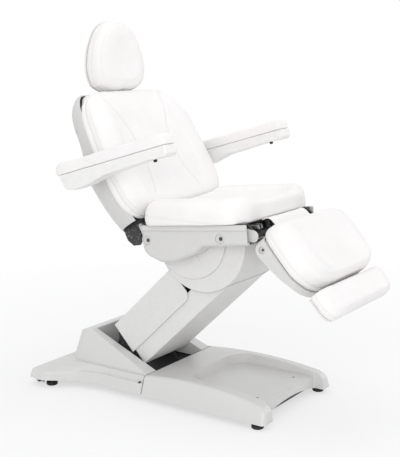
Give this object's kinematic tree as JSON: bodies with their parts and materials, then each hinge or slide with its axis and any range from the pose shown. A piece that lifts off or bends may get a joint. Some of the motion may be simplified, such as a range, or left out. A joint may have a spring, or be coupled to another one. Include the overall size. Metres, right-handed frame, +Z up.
{
  "type": "podiatry chair",
  "caption": "Powered podiatry chair with a link lift, tilting seat, reclining back, sliding headrest, swing-up arms, leg rest and pull-out foot pad.",
  "frame": {"origin": "on the floor, under the middle of the whole chair in its stored pose", "axes": "+Z up, -Y towards the foot end, +X to the sitter's left"},
  "size_m": [0.8802, 1.3333, 1.4726],
  "materials": {
    "black_steel": "satin black powder coat",
    "black_rubber": "matte",
    "grey_wheel": "matte",
    "zinc_steel": "bright zinc",
    "dark_screws": "blackened",
    "bright_rods": "polished",
    "actuator_rods": "satin",
    "motor_plastic": "fine grain",
    "base_covers": "pale warm grey, semi-gloss",
    "lift_covers": "pale warm grey, satin",
    "shell_plastic": "pale grey, semi-gloss",
    "boards": "plywood, hidden",
    "white_upholstery": "off-white vinyl with a soft grain"
  },
  "bodies": {
    "base": {"base_frame": "black_steel", "foot_pads": "black_rubber", "foot_stems": "zinc_steel", "wheel_axles": "zinc_steel", "base_pivot_pins": "zinc_steel", "control_box": "motor_plastic", "front_cover": "base_covers", "rear_cover": "base_covers", "cover_screws": "dark_screws"},
    "wheel_left": {"transport_wheel_left": "grey_wheel"},
    "wheel_right": {"transport_wheel_right": "grey_wheel"},
    "lower_arm": {"lower_link": "black_steel", "lower_link_cover": "lift_covers"},
    "upper_arm": {"upper_link": "black_steel", "upper_link_cover": "lift_covers"},
    "carriage": {"carriage_frame": "black_steel", "carriage_pins": "zinc_steel", "carriage_cover": "lift_covers"},
    "seat": {"seat_frame": "black_steel", "seat_pins": "zinc_steel", "seat_housing": "shell_plastic", "housing_screws": "dark_screws", "side_discs": "lift_covers", "seat_board": "boards", "seat_cushion": "white_upholstery", "gap_flap": "white_upholstery"},
    "back": {"back_frame": "black_steel", "back_shell": "shell_plastic", "back_buttons": "shell_plastic", "arm_bracket_left": "black_steel", "arm_bracket_right": "black_steel", "back_board": "boards", "back_cushion": "white_upholstery", "headrest_guides": "black_steel"},
    "head_rods": {"headrest_rods": "bright_rods"},
    "head": {"headrest_bracket": "black_steel", "headrest_shell": "shell_plastic", "headrest_cushion": "white_upholstery"},
    "arm_left": {"arm_shell_left": "shell_plastic", "arm_pad_left": "white_upholstery", "arm_bumper_left": "black_rubber"},
    "arm_right": {"arm_shell_right": "shell_plastic", "arm_pad_right": "white_upholstery", "arm_bumper_right": "black_rubber"},
    "leg_rest": {"leg_frame": "black_steel", "leg_shell": "shell_plastic", "leg_screws": "dark_screws", "leg_board": "boards", "leg_cushion": "white_upholstery"},
    "foot_rest": {"foot_rods": "bright_rods", "foot_board": "boards", "foot_cushion": "white_upholstery"},
    "lift_motor": {"lift_actuator_body": "motor_plastic"},
    "lift_ram": {"lift_actuator_rod": "actuator_rods"},
    "tilt_motor": {"tilt_actuator_body": "motor_plastic"},
    "tilt_ram": {"tilt_actuator_rod": "actuator_rods"},
    "back_motor": {"back_actuator_body": "motor_plastic"},
    "back_ram": {"back_actuator_rod": "actuator_rods"},
    "leg_motor": {"leg_actuator_body": "motor_plastic"},
    "leg_ram": {"leg_actuator_rod": "actuator_rods"}
  },
  "joints": [
    {"name": "lift", "type": "hinge", "parent": "base", "child": "lower_arm", "pos_m": [0, 0.2705, 0.132], "axis": [-1, 0, 0], "range_deg": [-36, 4]},
    {"name": "upper_arm_pivot", "type": "hinge", "parent": "base", "child": "upper_arm", "pos_m": [0, 0.3555, 0.212], "axis": [-1, 0, 0], "range_deg": [-37, 5]},
    {"name": "carriage_pivot", "type": "hinge", "parent": "lower_arm", "child": "carriage", "pos_m": [0, -0.09098, 0.47744], "axis": [1, 0, 0], "range_deg": [-37, 5]},
    {"name": "seat_tilt", "type": "hinge", "parent": "carriage", "child": "seat", "pos_m": [0, 0.00002, 0.65544], "axis": [-1, 0, 0], "range_deg": [-6, 14]},
    {"name": "back_recline", "type": "hinge", "parent": "seat", "child": "back", "pos_m": [0, 0.18467, 0.69033], "axis": [-1, 0, 0], "range_deg": [-3, 59]},
    {"name": "leg_rest", "type": "hinge", "parent": "seat", "child": "leg_rest", "pos_m": [0, -0.31954, 0.70512], "axis": [1, 0, 0], "range_deg": [-48, 32], "deforming": ["gap_flap"]},
    {"name": "headrest_height", "type": "slide", "parent": "back", "child": "head_rods", "axis": [0, 0.515, 0.8572], "range_m": [0, 0.08]},
    {"name": "headrest_tilt", "type": "hinge", "parent": "head_rods", "child": "head", "pos_m": [0, 0.56301, 1.25398], "axis": [-1, 0, 0], "range_deg": [0, 35]},
    {"name": "arm_left_swing", "type": "hinge", "parent": "back", "child": "arm_left", "pos_m": [0, 0.35749, 0.87698], "axis": [-1, 0, 0], "range_deg": [0, 100]},
    {"name": "arm_right_swing", "type": "hinge", "parent": "back", "child": "arm_right", "pos_m": [0, 0.35749, 0.87698], "axis": [-1, 0, 0], "range_deg": [0, 100]},
    {"name": "foot_rest_slide", "type": "slide", "parent": "leg_rest", "child": "foot_rest", "axis": [0, -0.6691, -0.7431], "range_m": [0, 0.12]},
    {"name": "wheel_left_spin", "type": "hinge", "parent": "base", "child": "wheel_left", "pos_m": [0, 0.6465, 0.018], "axis": [1, 0, 0], "continuous": true},
    {"name": "wheel_right_spin", "type": "hinge", "parent": "base", "child": "wheel_right", "pos_m": [0, 0.6465, 0.018], "axis": [1, 0, 0], "continuous": true},
    {"name": "lift_motor_pivot", "type": "hinge", "parent": "base", "child": "lift_motor", "pos_m": [0, 0.2705, 0.132], "axis": [1, 0, 0], "range_deg": [-5.56, 38.05]},
    {"name": "lift_ram_slide", "type": "slide", "parent": "lift_motor", "child": "lift_ram", "axis": [0, -0.5449, 0.8385], "range_m": [-0.07531, 0.01103]},
    {"name": "tilt_motor_pivot", "type": "hinge", "parent": "carriage", "child": "tilt_motor", "pos_m": [0, 0.07102, 0.60244], "axis": [1, 0, 0], "range_deg": [-11.6, 5.83]},
    {"name": "tilt_ram_slide", "type": "slide", "parent": "tilt_motor", "child": "tilt_ram", "axis": [0, -0.9908, 0.1353], "range_m": [-0.007, 0.01233]},
    {"name": "back_motor_pivot", "type": "hinge", "parent": "seat", "child": "back_motor", "pos_m": [0, -0.11379, 0.67042], "axis": [1, 0, 0], "range_deg": [-3.33, 1.59]},
    {"name": "back_ram_slide", "type": "slide", "parent": "back_motor", "child": "back_ram", "axis": [0, 0.9944, -0.1058], "range_m": [-0.062, 0.006]},
    {"name": "leg_motor_pivot", "type": "hinge", "parent": "seat", "child": "leg_motor", "pos_m": [0, 0.0631, 0.64579], "axis": [1, 0, 0], "range_deg": [-1.72, 1.64]},
    {"name": "leg_ram_slide", "type": "slide", "parent": "leg_motor", "child": "leg_ram", "axis": [0, -0.974, 0.2267], "range_m": [-0.02701, 0.01901]}
  ],
  "couplings": [
    {"joint": "upper_arm_pivot", "follows": "lift", "ratio": 1},
    {"joint": "carriage_pivot", "follows": "lift", "ratio": 1},
    {"joint": "lift_motor_pivot", "follows": "lift", "ratio": -1.0153},
    {"joint": "lift_ram_slide", "follows": "lift", "m_per_rad": 0.11508},
    {"joint": "tilt_motor_pivot", "follows": "seat_tilt", "ratio": -0.72137},
    {"joint": "tilt_ram_slide", "follows": "seat_tilt", "m_per_rad": 0.03817},
    {"joint": "back_motor_pivot", "follows": "back_recline", "ratio": -0.03095},
    {"joint": "back_ram_slide", "follows": "back_recline", "m_per_rad": -0.0573},
    {"joint": "leg_motor_pivot", "follows": "leg_rest", "ratio": 0.00449},
    {"joint": "leg_ram_slide", "follows": "leg_rest", "m_per_rad": 0.02866}
  ]
}
